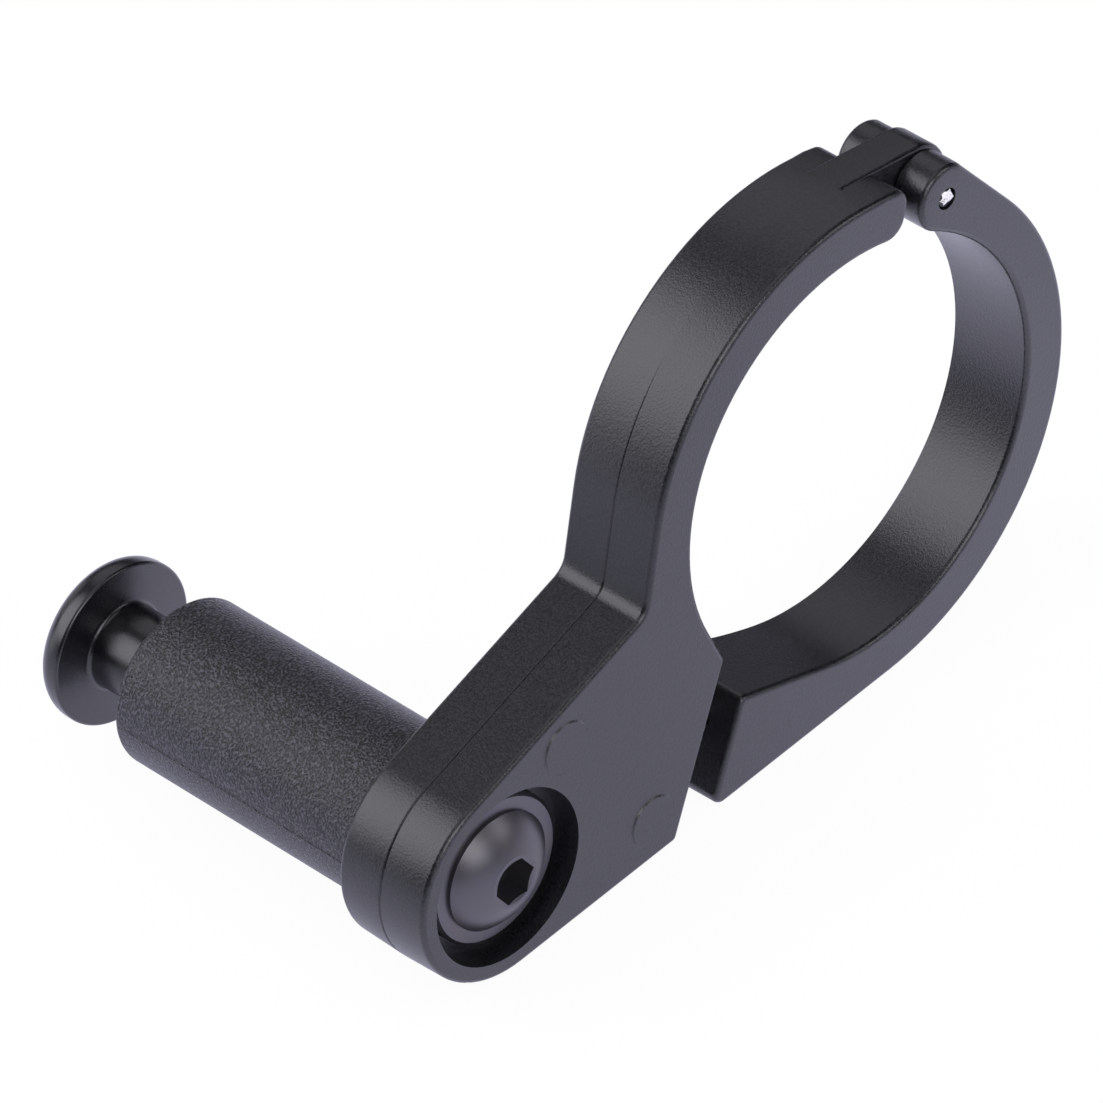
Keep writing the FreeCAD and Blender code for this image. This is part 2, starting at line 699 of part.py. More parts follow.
def make_clamp_insert():
    """Threaded insert pressed into the block, with a groove round its middle."""
    body = make_body("clamp_insert")
    section = clamp_axis_outline(body, "insert_section")
    bore = "dims.clamp_screw_radius + dims.swing_gap"
    waist = "dims.insert_radius - dims.insert_groove_depth"
    end = "dims.insert_length / 2"
    lip = "dims.insert_groove_width / 2"
    section.polygon([
        (bore, f"-{end}"), ("dims.insert_radius", f"-{end}"), ("dims.insert_radius", f"-{lip}"),
        (waist, f"-{lip}"), (waist, lip), ("dims.insert_radius", lip),
        ("dims.insert_radius", end), (bore, end),
    ])
    turn(body, section)
    return body


def write_parts(bodies):
    """Check every feature and piece, then write one file per piece."""
    doc.recompute()
    bad = [item.Name for item in doc.Objects if {"Invalid", "Error"} & set(item.State)]
    assert not bad, bad
    os.makedirs("parts", exist_ok=True)
    for body in bodies:
        shape = body.Shape
        assert not shape.isNull() and shape.isValid(), body.Label
        assert len(shape.Solids) == 1, body.Label
        shape.exportStep(f"parts/{body.Label}.step")


make_sheet()
write_parts([
    make_clamp_body(),
    make_clamp_strap(),
    make_hinge_pin(),
    make_spacer_sleeve(),
    make_lamp_nut(),
    make_lamp_screw(),
    make_clamp_screw(),
    make_clamp_insert(),
])
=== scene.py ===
import json
import math
import random

import bmesh
import bpy
from mathutils import Matrix, Vector
from mathutils.kdtree import KDTree


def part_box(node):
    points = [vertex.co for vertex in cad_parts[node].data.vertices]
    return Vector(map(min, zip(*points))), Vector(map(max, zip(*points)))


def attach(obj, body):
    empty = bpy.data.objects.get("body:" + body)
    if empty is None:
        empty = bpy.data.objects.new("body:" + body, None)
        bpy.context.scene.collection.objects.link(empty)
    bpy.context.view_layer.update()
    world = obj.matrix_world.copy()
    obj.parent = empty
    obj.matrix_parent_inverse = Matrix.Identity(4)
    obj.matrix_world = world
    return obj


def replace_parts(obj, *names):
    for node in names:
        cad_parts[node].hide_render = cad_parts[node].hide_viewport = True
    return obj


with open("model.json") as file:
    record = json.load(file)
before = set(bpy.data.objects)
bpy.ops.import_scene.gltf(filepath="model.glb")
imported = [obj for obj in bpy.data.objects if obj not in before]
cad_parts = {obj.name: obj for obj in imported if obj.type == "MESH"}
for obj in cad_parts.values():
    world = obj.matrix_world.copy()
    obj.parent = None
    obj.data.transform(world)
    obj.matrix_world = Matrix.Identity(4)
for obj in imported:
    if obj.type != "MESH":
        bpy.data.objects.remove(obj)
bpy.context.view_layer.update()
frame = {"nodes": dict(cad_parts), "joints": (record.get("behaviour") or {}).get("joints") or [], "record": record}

MM = 0.001

# Camera, at the photograph's viewing angle: lengths in millimetres, its roll in degrees
CAMERA_PLACE = (-390.957, -449.521, 523.142)
CAMERA_LOOK = (0.47229, 0.57875, -0.66481)
CAMERA_ROLL = -9.047
CAMERA_LENS = 391.66
CAMERA_SENSOR = 36.0
CAMERA_CLIP = (10.0, 10000.0)

# Finishes, in millimetres: how wide their grain is and how deep. The moulded nylon's grain is
# too fine to show at its real size, so it is drawn as coarse as it needs to show.
NYLON_GRAIN = 0.17
NYLON_RELIEF = 0.016
GRIT_GRAIN = 0.18
GRIT_RELIEF = 0.12
COAT_RIPPLE = 0.6
COAT_RELIEF = 0.01
OXIDE_PATCH = 2.5
WIRE_SCUFF = 0.1
SHEAR_GRAIN = 0.25
SHEAR_RELIEF = 0.08
BRASS_MARK = 0.2

# Meshes: points this close are one, points this near a plane are cut as on it or count as on
# it, in millimetres; faces that turn by less than this are one flat, and an edge that turns by
# more than this stays sharp, in degrees
MERGE = 0.0005
CUT_SLACK = 0.001
ON_PLANE = 0.002
FLAT = 1.0
SHARP = 35.0

# Sizes of the part in millimetres, and slopes and turns in degrees, in its own frame
RING_RADIUS = -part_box("clamp_body")[0].z / MM
HALF_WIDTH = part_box("clamp_body")[1].y / MM
BOSS_X, _, BOSS_Z = (v / MM for v in frame["record"]["mounts"][1]["pos_m"])
BOSS_RADIUS = RING_RADIUS + BOSS_Z
HINGE_X, _, HINGE_Z = (v / MM for v in frame["joints"][0]["pos_m"])
RING_START = 78.0
ARM_SLOPE = 15.8
RING_FLAT_SLOPE = 71.1
ROOT_ROUND = 1.5
BLOCK_FOOT = 20.65
EAR_FOOT = 17.4
KNUCKLE_RADIUS = 2.45
SCREW_X = -18.75
SCREW_Z = -10.1

# Ejector marks on the front face: x and z of each, and the low pad it leaves
EJECTOR_MARKS = ((-22.4, -16.4), (-28.7, -5.0))
MARK_RADIUS = 2.0
MARK_DEPTH = 0.1
MARK_SLACK = 0.05
PAD_RADIUS = 1.88
PAD_RISE = 0.1

# Torn ends of the hinge pin
PIN_END = 3.8
TEAR_SEED = 7
TEAR_POINTS = 14
TEAR_SHIFT = (0.03, 0.05)
TEAR_RADIUS = 0.72
TEAR_RISE = 0.11
TEAR_SINK = 0.05
TEAR_RINGS = (1.0, 0.9, 0.45)
TEAR_REACH = (0.7, 1.15)
TEAR_LIFT = (0.25, 1.0)

# Ridge along the sleeve, where its mould closed
SLEEVE_RADIUS = 6.15
SEAM_ANGLE = 175.0
SEAM_SPAN = (4.2, 26.5)
SEAM_HALF_WIDTH = 0.08
SEAM_RISE = 0.04
SEAM_SINK = 0.08

# Spool: its barrel in the sleeve, the neck that carries the lamp, and the disc
SPOOL_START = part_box("lamp_nut")[0].y / MM
SPOOL_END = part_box("lamp_nut")[1].y / MM
SLEEVE_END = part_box("spacer_sleeve")[1].y / MM
BARREL_RADIUS = 4.2
BARREL_BORE = 2.55
BORE_END = 25.55
NECK_RADIUS = 3.1
NECK_FILLET = 0.4
DISC_FRONT = 32.7
DISC_RADIUS = 6.05
DISC_FRONT_ROUND = 0.25
DISC_BACK_ROUND = 1.5
TURNED_SIDES = 96

# Draft of the mouldings: both halves of each outer face fall away from the parting line
DRAFT = 1.5
DRAFT_REACH = 0.45
DRAFT_FADE = 0.45
GUIDE_STEP = 0.25

# Groove that the mould's halves leave at the parting. The body's ring lies past the first of
# these turns round the bore; there the groove fades from full to none towards the top.
GROOVE_HALF_WIDTH = 0.11
GROOVE_DEPTH = 0.15
GROOVE_BODY = 60.0
GROOVE_NONE = 124.0
GROOVE_FULL = 176.0

# The body's hinge tongue: its two sides, and the round of their edges
TONGUE_SIDES = (-1.25, 1.85)
TONGUE_FOOT = 13.0
TONGUE_SLACK = 0.005
TONGUE_CORNER = 60.0
TONGUE_ROUND = 0.3
TONGUE_STEPS = 3

# Thread of the clamp screw, along its axis from the insert's middle
THREAD_START = -7.6
THREAD_LENGTH = 10.0
THREAD_PITCH = 0.5
THREAD_RADIUS = 1.5
THREAD_RIDGE = 0.11
THREAD_STEPS = 24
RIDGE_SIDES = 6

# Stage
FLOOR_LEVEL = -RING_RADIUS
FLOOR_RADIUS = 2500.0
FLOOR_SIDES = 96
PAPER_PLAIN = 0.93
PAPER_WHITE = 1.02
STUDIO_LEVEL = 0.35

# Painted glow that the paper shows only in the part's gloss, a cool painted pool of light: stronger along a
# direction, weaker far off
PAINTED_GLOW_DIRECTION = (0.8, 0.6, 0.0)
PAINTED_GLOW_SPAN = (-20.0, 12.0)
PAINTED_GLOW_LEVEL = (1.13, 1.55)
PAINTED_GLOW_FADE = (40.0, 100.0)
PAINTED_GLOW_FAR = 0.7

# Softboxes: direction from the part, distance and size in metres, power in watts
DAYLIGHT = "#f6f6ff"
SOFTBOXES = {
    "front_softbox": ((-0.24, -0.85, 0.48), 1.0, 0.52, 2.6),
    "front_right_softbox": ((0.55, -0.72, 0.48), 1.0, 0.4, 1.3),
    "camera_softbox": ((-0.47, -0.58, 0.67), 1.0, 0.5, 0.85),
    "top_softbox": ((0.0, 0.0, 1.0), 1.0, 0.8, 1.38),
    "back_left_softbox": ((-0.53, 0.58, 0.6), 0.9, 0.67, 3.2),
    "back_right_softbox": ((0.5, 0.58, 0.65), 0.9, 0.6, 0.67),
    "back_softbox": ((0.0, 1.0, 0.3), 1.0, 0.5, 0.53),
    "left_softbox": ((-0.65, 0.75, 0.1), 1.0, 0.4, 0.64),
}


def linear(hex_colour):
    """An sRGB hex colour as the linear values a shader takes."""
    values = [int(hex_colour[i:i + 2], 16) / 255 for i in (1, 3, 5)]
    return [v / 12.92 if v <= 0.04045 else ((v + 0.055) / 1.055) ** 2.4 for v in values] + [1.0]


def per_metre(size_mm):
    """The scale of a noise whose features are this many millimetres across."""
    return 1.0 / (size_mm * MM)


def add(tree, kind, settings=None, **sockets):
    """Add a node, set its properties, and set or link its inputs by name or number."""
    node = tree.nodes.new(kind)
    for name, value in (settings or {}).items():
        setattr(node, name, value)
    for name, value in sockets.items():
        key = int(name[1:]) if name[0] == "i" and name[1:].isdigit() else name.replace("_", " ")
        if isinstance(value, bpy.types.NodeSocket):
            tree.links.new(value, node.inputs[key])
        else:
            node.inputs[key].default_value = value
    return node


def new_material(name):
    """An empty node material, and the Object coordinates to draw its finish on."""
    material = bpy.data.materials.new(name)
    material.use_nodes = True
    tree = material.node_tree
    tree.nodes.clear()
    place = add(tree, "ShaderNodeTexCoord").outputs["Object"]
    return material, tree, place


def finish_material(tree, shader):
    """Lead a shader to the material's output."""
    add(tree, "ShaderNodeOutputMaterial", Surface=shader.outputs[0])


def moulded_nylon():
    """Glass-filled nylon from a finely eroded mould: near black, with a soft satin sheen."""
    material, tree, place = new_material("moulded_glass_filled_nylon")
    grain = add(tree, "ShaderNodeTexNoise", Vector=place, Scale=per_metre(NYLON_GRAIN), Detail=1.0)
    fleck = add(tree, "ShaderNodeMapRange", Value=grain.outputs["Fac"], i1=0.35, i2=0.65)
    tint = add(tree, "ShaderNodeMix", {"data_type": "RGBA"}, i0=fleck.outputs["Result"],
               i6=linear("#0b0b0e"), i7=linear("#202025"))
    gloss = add(tree, "ShaderNodeMapRange", Value=grain.outputs["Fac"], i3=0.27, i4=0.41)
    bump = add(tree, "ShaderNodeBump", Strength=1.0, Distance=NYLON_RELIEF * MM,
               Height=grain.outputs["Fac"])
    finish_material(tree, add(tree, "ShaderNodeBsdfPrincipled", Base_Color=tint.outputs[2],
                              Roughness=gloss.outputs["Result"], IOR=1.75,
                              Normal=bump.outputs["Normal"]))
    return material


def textured_nylon():
    """Nylon from a coarsely eroded mould: its grit sparkles as each grain catches the light."""
    material, tree, place = new_material("coarse_eroded_nylon")
    grit = add(tree, "ShaderNodeTexNoise", Vector=place, Scale=per_metre(GRIT_GRAIN), Detail=1.0)
    bump = add(tree, "ShaderNodeBump", Strength=1.0, Distance=GRIT_RELIEF * MM,
               Height=grit.outputs["Fac"])
    fleck = add(tree, "ShaderNodeMapRange", Value=grit.outputs["Fac"], i1=0.45, i2=0.7)
    tint = add(tree, "ShaderNodeMix", {"data_type": "RGBA"}, i0=fleck.outputs["Result"],
               i6=linear("#060608"), i7=linear("#4e4e57"))
    finish_material(tree, add(tree, "ShaderNodeBsdfPrincipled", Base_Color=tint.outputs[2],
                              Roughness=0.4, IOR=1.7, Normal=bump.outputs["Normal"]))
    return material


def coated_metal():
    """Turned metal under a satin black coat: smooth, with soft bright highlights."""
    material, tree, place = new_material("satin_black_coated_metal")
    peel = add(tree, "ShaderNodeTexNoise", Vector=place, Scale=per_metre(COAT_RIPPLE), Detail=1.0)
    bump = add(tree, "ShaderNodeBump", Strength=0.2, Distance=COAT_RELIEF * MM,
               Height=peel.outputs["Fac"])
    gloss = add(tree, "ShaderNodeMapRange", Value=peel.outputs["Fac"], i3=0.24, i4=0.32)
    finish_material(tree, add(tree, "ShaderNodeBsdfPrincipled", Base_Color=linear("#141418"),
                              Roughness=gloss.outputs["Result"], IOR=1.75,
                              Normal=bump.outputs["Normal"]))
    return material


def oxide_steel():
    """Black-oxide steel, lightly oiled: blue-grey, with a faint brown cast in patches."""
    material, tree, place = new_material("black_oxide_steel")
    stain = add(tree, "ShaderNodeTexNoise", Vector=place, Scale=per_metre(OXIDE_PATCH), Detail=4.0)
    tint = add(tree, "ShaderNodeMix", {"data_type": "RGBA"}, i0=stain.outputs["Fac"],
               i6=linear("#64666f"), i7=linear("#706a68"))
    gloss = add(tree, "ShaderNodeMapRange", Value=stain.outputs["Fac"], i3=0.34, i4=0.44)
    finish_material(tree, add(tree, "ShaderNodeBsdfPrincipled", Base_Color=tint.outputs[2],
                              Metallic=0.9, Roughness=gloss.outputs["Result"]))
    return material


def drawn_steel():
    """Drawn steel wire, oiled and dull: dark grey, its gloss broken by fine scuffs."""
    material, tree, place = new_material("drawn_steel_wire")
    scuff = add(tree, "ShaderNodeTexNoise", Vector=place, Scale=per_metre(WIRE_SCUFF), Detail=1.0)
    gloss = add(tree, "ShaderNodeMapRange", Value=scuff.outputs["Fac"], i3=0.35, i4=0.5)
    finish_material(tree, add(tree, "ShaderNodeBsdfPrincipled", Base_Color=linear("#4a4a4e"),
                              Metallic=1.0, Roughness=gloss.outputs["Result"]))
    return material


def sheared_steel():
    """Fresh steel where the wire was sheared: bright, torn across the cut."""
    material, tree, place = new_material("sheared_steel")
    tear = add(tree, "ShaderNodeTexNoise", Vector=place, Scale=per_metre(SHEAR_GRAIN), Detail=3.0)
    bump = add(tree, "ShaderNodeBump", Strength=1.0, Distance=SHEAR_RELIEF * MM,
               Height=tear.outputs["Fac"])
    finish_material(tree, add(tree, "ShaderNodeBsdfPrincipled", Base_Color=linear("#fbf8ee"),
                              Metallic=1.0, Roughness=0.28, Normal=bump.outputs["Normal"]))
    return material


def insert_brass():
    """Machined brass: yellow, its gloss broken by fine tool marks."""
    material, tree, place = new_material("machined_brass")
    marks = add(tree, "ShaderNodeTexNoise", Vector=place, Scale=per_metre(BRASS_MARK), Detail=1.0)
    gloss = add(tree, "ShaderNodeMapRange", Value=marks.outputs["Fac"], i3=0.22, i4=0.38)
    finish_material(tree, add(tree, "ShaderNodeBsdfPrincipled", Base_Color=linear("#c9a24f"),
                              Metallic=1.0, Roughness=gloss.outputs["Result"]))
    return material


def dress(material, *nodes):
    """Give pieces that stay as they are in the frame their material."""
    for name in nodes:
        mesh = frame["nodes"][name].data
        mesh.materials.clear()
        mesh.materials.append(material)


def polar(radius, degrees, centre=(0.0, 0.0)):
    """The point at a radius and an angle round a centre."""
    return (centre[0] + radius * math.cos(math.radians(degrees)),
            centre[1] + radius * math.sin(math.radians(degrees)))


def arc(radius, start, end, centre=(0.0, 0.0), step=1.0):
    """Points a step or so apart, in degrees, along an arc."""
    count = max(2, math.ceil(abs(end - start) / step))
    return [polar(radius, start + (end - start) * k / count, centre) for k in range(count + 1)]


def body_line():
    """The parting line of the fixed half: over the ring, along the arm, round the boss."""
    boss = (BOSS_X, BOSS_Z)
    bend = RING_FLAT_SLOPE - ARM_SLOPE
    flat_end = polar(RING_RADIUS, RING_FLAT_SLOPE + 90)
    arm_end = polar(BOSS_RADIUS, ARM_SLOPE + 90, boss)
    down = polar(1.0, RING_FLAT_SLOPE + 180)
    up = polar(1.0, ARM_SLOPE)
    across = down[0] * up[1] - down[1] * up[0]
    along = ((arm_end[0] - flat_end[0]) * up[1] - (arm_end[1] - flat_end[1]) * up[0]) / across
    root = (flat_end[0] + along * down[0], flat_end[1] + along * down[1])
    reach = ROOT_ROUND / math.cos(math.radians(bend / 2))
    middle = polar(reach, (RING_FLAT_SLOPE + ARM_SLOPE) / 2 + 90, root)
    return (arc(RING_RADIUS, RING_START, RING_FLAT_SLOPE + 90)
            + arc(ROOT_ROUND, RING_FLAT_SLOPE - 90, ARM_SLOPE - 90, middle)
            + arc(BOSS_RADIUS, ARM_SLOPE + 90, 270, boss)
            + [(-BLOCK_FOOT, -RING_RADIUS)])


def strap_line():
    """The parting line of the swinging half, from the ear round to the hinge."""
    reach = math.hypot(HINGE_X, HINGE_Z)
    lean = math.degrees(math.acos((RING_RADIUS - KNUCKLE_RADIUS) / reach))
    turn = math.degrees(math.atan2(HINGE_Z, HINGE_X)) - lean
    return ([(-EAR_FOOT, -RING_RADIUS)] + arc(RING_RADIUS, -90, turn)
            + [polar(KNUCKLE_RADIUS, turn, (HINGE_X, HINGE_Z))])


def spread(points):
    """The same line with its points close together, each with its outward direction."""
    out = []
    for p, q in zip(points, points[1:]):
        run = math.hypot(q[0] - p[0], q[1] - p[1])
        if run < MERGE:
            continue
        away = ((q[1] - p[1]) / run, (p[0] - q[0]) / run)
        count = math.ceil(run / GUIDE_STEP)
        for k in range(count):
            share = k / count
            out.append(((p[0] + share * (q[0] - p[0]), p[1] + share * (q[1] - p[1])), away))
    return out


def raise_marks(shape):
    """Leave each ejector mark as a low pad with a sloping edge."""
    for x, z in EJECTOR_MARKS:
        for vert in shape.verts:
            run = math.hypot(vert.co.x / MM - x, vert.co.z / MM - z)
            depth = HALF_WIDTH + vert.co.y / MM
            if run < MARK_RADIUS + MARK_SLACK and abs(depth - MARK_DEPTH) < MARK_SLACK:
                vert.co.x = (x + (vert.co.x / MM - x) * PAD_RADIUS / MARK_RADIUS) * MM
                vert.co.z = (z + (vert.co.z / MM - z) * PAD_RADIUS / MARK_RADIUS) * MM
                vert.co.y = -(HALF_WIDTH + PAD_RISE) * MM


def round_tongue(shape):
    """Break the long edges of the hinge tongue."""
    edges = [edge for edge in shape.edges
             if any(all(abs(v.co.y - side * MM) < TONGUE_SLACK * MM and v.co.z > TONGUE_FOOT * MM
                        for v in edge.verts) for side in TONGUE_SIDES)
             and edge.calc_face_angle(0.0) > math.radians(TONGUE_CORNER) and edge.is_convex]
    bmesh.ops.bevel(shape, geom=edges, offset=TONGUE_ROUND * MM, segments=TONGUE_STEPS,
                    profile=0.5, affect="EDGES")
    bmesh.ops.remove_doubles(shape, verts=shape.verts, dist=MERGE * MM)


def groove_share(place):
    """How deep the parting groove is at a place: whole, but none over the ring's top."""
    turn = math.degrees(math.atan2(place.z, place.x))
    if turn < GROOVE_BODY:
        return 1.0
    return min(1.0, max(0.0, (turn - GROOVE_NONE) / (GROOVE_FULL - GROOVE_NONE)))


def drafted(node, name, line, material):
    """A moulding with the draft that frees it from the mould, and the groove at its parting."""
    guide = spread(line)
    tree = KDTree(len(guide))
    for index, (point, _) in enumerate(guide):
        tree.insert((point[0] * MM, 0.0, point[1] * MM), index)
    tree.balance()

    mesh = bpy.data.meshes.new(name)
    shape = bmesh.new()
    shape.from_mesh(frame["nodes"][node].data)
    bmesh.ops.remove_doubles(shape, verts=shape.verts, dist=MERGE * MM)
    bmesh.ops.join_triangles(shape, faces=shape.faces, angle_face_threshold=math.radians(FLAT),
                             angle_shape_threshold=math.pi)
    if node == "clamp_body":
        raise_marks(shape)
        round_tongue(shape)
    for level in (-GROOVE_HALF_WIDTH, 0.0, GROOVE_HALF_WIDTH):
        bmesh.ops.bisect_plane(shape, geom=shape.verts[:] + shape.edges[:] + shape.faces[:],
                               dist=CUT_SLACK * MM, plane_co=(0, level * MM, 0),
                               plane_no=(0, 1, 0))
    parting = set()
    for vert in shape.verts:
        _, index, reach = tree.find((vert.co.x, 0.0, vert.co.z))
        away = guide[index][1]
        share = min(1.0, max(0.0, (DRAFT_REACH + DRAFT_FADE - reach / MM) / DRAFT_FADE))
        fall = share * math.tan(math.radians(DRAFT)) * abs(vert.co.y)
        if share == 1.0 and abs(vert.co.y) < ON_PLANE * MM:
            parting.add(vert)
            fall += groove_share(vert.co) * GROOVE_DEPTH * MM
        vert.co.x -= away[0] * fall
        vert.co.z -= away[1] * fall
    for edge in shape.edges:
        crease = parting.issuperset(edge.verts)
        edge.smooth = not crease and edge.calc_face_angle(math.pi) < math.radians(SHARP)
    for face in shape.faces:
        face.smooth = True
    shape.to_mesh(mesh)
    shape.free()
    piece = bpy.data.objects.new(name, mesh)
    bpy.context.scene.collection.objects.link(piece)
    even = piece.modifiers.new("even_shading", "WEIGHTED_NORMAL")
    even.keep_sharp = True
    settle(piece)
    piece.data.materials.clear()
    piece.data.materials.append(material)
    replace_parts(piece, node)
    return piece


def settle(piece):
    """Turn what a piece's modifiers give into its plain mesh."""
    bpy.context.view_layer.update()
    made = piece.evaluated_get(bpy.context.evaluated_depsgraph_get())
    mesh = bpy.data.meshes.new_from_object(made)
    piece.modifiers.clear()
    piece.data = mesh


def screw_thread(material):
    """The clamp screw's thread: a fine ridge wound along its shank."""
    tree = bpy.data.node_groups.new("wound_thread", "GeometryNodeTree")
    tree.interface.new_socket("Geometry", in_out="OUTPUT", socket_type="NodeSocketGeometry")
    sockets = {}
    for name, value in {"Turns": THREAD_LENGTH / THREAD_PITCH, "Length": THREAD_LENGTH * MM,
                        "Radius": THREAD_RADIUS * MM, "Ridge": THREAD_RIDGE * MM}.items():
        socket = tree.interface.new_socket(name, in_out="INPUT", socket_type="NodeSocketFloat")
        sockets[socket.identifier] = value
    given = add(tree, "NodeGroupInput").outputs
    wind = add(tree, "GeometryNodeCurveSpiral", Resolution=THREAD_STEPS, Rotations=given["Turns"],
               Start_Radius=given["Radius"], End_Radius=given["Radius"], Height=given["Length"])
    ridge = add(tree, "GeometryNodeCurvePrimitiveCircle", Resolution=RIDGE_SIDES,
                Radius=given["Ridge"])
    sweep = add(tree, "GeometryNodeCurveToMesh", Curve=wind.outputs[0],
                Profile_Curve=ridge.outputs[0], Fill_Caps=True)
    real = add(tree, "GeometryNodeRealizeInstances", Geometry=sweep.outputs[0])
    dressed = add(tree, "GeometryNodeSetMaterial", Geometry=real.outputs[0], Material=material)
    add(tree, "NodeGroupOutput", Geometry=dressed.outputs[0])

    piece = bpy.data.objects.new("clamp_screw_thread", bpy.data.meshes.new("clamp_screw_thread"))
    bpy.context.scene.collection.objects.link(piece)
    winding = piece.modifiers.new("winding", "NODES")
    winding.node_group = tree
    for identifier, value in sockets.items():
        winding[identifier] = value
    settle(piece)
    across = math.hypot(HINGE_X - SCREW_X, HINGE_Z - SCREW_Z)
    tip = Vector(((SCREW_Z - HINGE_Z) / across, 0.0, (HINGE_X - SCREW_X) / across))
    start = (Vector((SCREW_X, 0.0, SCREW_Z)) + THREAD_START * tip) * MM
    turn = Vector((0, 0, 1)).rotation_difference(tip).to_matrix().to_4x4()
    piece.data.transform(Matrix.Translation(start) @ turn)
    piece.data.shade_smooth()
    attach(piece, "strap")


def turned_spool(material):
    """The spool as it comes off the lathe, with the outer edge of its disc well rounded."""
    fillet = (NECK_RADIUS + NECK_FILLET, DISC_FRONT - NECK_FILLET)
    front = (DISC_RADIUS - DISC_FRONT_ROUND, DISC_FRONT + DISC_FRONT_ROUND)
    back = (DISC_RADIUS - DISC_BACK_ROUND, SPOOL_END - DISC_BACK_ROUND)
    profile = ([(BARREL_BORE, SPOOL_START), (BARREL_RADIUS, SPOOL_START),
                (BARREL_RADIUS, SLEEVE_END), (NECK_RADIUS, SLEEVE_END)]
               + arc(NECK_FILLET, 180, 90, fillet, 15)
               + arc(DISC_FRONT_ROUND, -90, 0, front, 15)
               + arc(DISC_BACK_ROUND, 0, 90, back, 7.5)
               + [(0.0, SPOOL_END), (0.0, BORE_END), (BARREL_BORE, BORE_END)])
    shape = bmesh.new()
    rings = []
    for radius, y in profile:
        count = TURNED_SIDES if radius else 1
        spots = [polar(radius, 360 * k / count, (BOSS_X, BOSS_Z)) for k in range(count)]
        rings.append([shape.verts.new((x * MM, y * MM, z * MM)) for x, z in spots])
    for low, high in zip(rings, rings[1:] + rings[:1]):
        for k in range(TURNED_SIDES):
            after = (k + 1) % TURNED_SIDES
            corners = (low[k % len(low)], low[after % len(low)], high[after % len(high)],
                       high[k % len(high)])
            face = list(dict.fromkeys(corners))
            if len(face) > 2:
                shape.faces.new(face)
    bmesh.ops.recalc_face_normals(shape, faces=shape.faces)
    for edge in shape.edges:
        edge.smooth = edge.calc_face_angle(math.pi) < math.radians(SHARP)
    for face in shape.faces:
        face.smooth = True
    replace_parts(place_piece("turned_spool", shape, material), "lamp_nut")


def place_piece(name, shape, material):
    """A piece of the fixed half, from a finished bmesh."""
    bmesh.ops.recalc_face_normals(shape, faces=shape.faces)
    mesh = bpy.data.meshes.new(name)
    shape.to_mesh(mesh)
    shape.free()
    mesh.materials.append(material)
    piece = bpy.data.objects.new(name, mesh)
    bpy.context.scene.collection.objects.link(piece)
    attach(piece, "bracket")
    return piece


def torn_pin_ends(material):
    """The torn ends that the shears leave on the hinge pin."""
    draw = random.Random(TEAR_SEED)
    centre = (HINGE_X + TEAR_SHIFT[0], HINGE_Z + TEAR_SHIFT[1])
    shape = bmesh.new()
    for side in (-1, 1):
        reach = [TEAR_RADIUS * draw.uniform(*TEAR_REACH) for _ in range(TEAR_POINTS)]
        rings = []
        for share in TEAR_RINGS:
            ring = []
            for k in range(TEAR_POINTS):
                lift = -TEAR_SINK if share == 1.0 else TEAR_RISE * draw.uniform(*TEAR_LIFT)
                x, z = polar(share * reach[k], 360 * k / TEAR_POINTS, centre)
                ring.append(shape.verts.new((x * MM, side * (PIN_END + lift) * MM, z * MM)))
            rings.append(ring)
        peak = shape.verts.new((centre[0] * MM, side * (PIN_END + TEAR_RISE / 2) * MM,
                                centre[1] * MM))
        shape.faces.new(rings[0])
        for k in range(TEAR_POINTS):
            after = (k + 1) % TEAR_POINTS
            for low, high in zip(rings, rings[1:]):
                shape.faces.new((low[k], low[after], high[after]))
                shape.faces.new((low[k], high[after], high[k]))
            shape.faces.new((rings[-1][k], rings[-1][after], peak))
    place_piece("torn_pin_ends", shape, material)


def sleeve_seam(material):
    """The fine ridge along the sleeve, where its mould closed."""
    out = Vector((*polar(1.0, SEAM_ANGLE), 0.0)).xzy
    across = Vector((*polar(1.0, SEAM_ANGLE + 90), 0.0)).xzy
    axis = Vector((BOSS_X, 0.0, BOSS_Z))
    section = [out * (SLEEVE_RADIUS - SEAM_SINK) - across * SEAM_HALF_WIDTH,
               out * (SLEEVE_RADIUS - SEAM_SINK) + across * SEAM_HALF_WIDTH,
               out * (SLEEVE_RADIUS + SEAM_RISE)]
    shape = bmesh.new()
    ends = [[shape.verts.new((axis + p + Vector((0.0, y, 0.0))) * MM) for p in section]
            for y in SEAM_SPAN]
    for ring in ends:
        shape.faces.new(ring)
    for k in range(len(section)):
        after = (k + 1) % len(section)
        shape.faces.new((ends[0][k], ends[0][after], ends[1][after], ends[1][k]))
    place_piece("sleeve_seam", shape, material)


def make_camera():
    """The camera, at the photograph's viewing angle."""
    data = bpy.data.cameras.new("photo_camera")
    data.lens = CAMERA_LENS
    data.sensor_width = CAMERA_SENSOR
    data.clip_start, data.clip_end = (v * MM for v in CAMERA_CLIP)
    camera = bpy.data.objects.new("photo_camera", data)
    turn = Vector(CAMERA_LOOK).to_track_quat("-Z", "Y").to_matrix().to_4x4()
    roll = Matrix.Rotation(math.radians(CAMERA_ROLL), 4, "Z")
    camera.matrix_world = Matrix.Translation(Vector(CAMERA_PLACE) * MM) @ turn @ roll
    bpy.context.scene.collection.objects.link(camera)
    bpy.context.scene.camera = camera


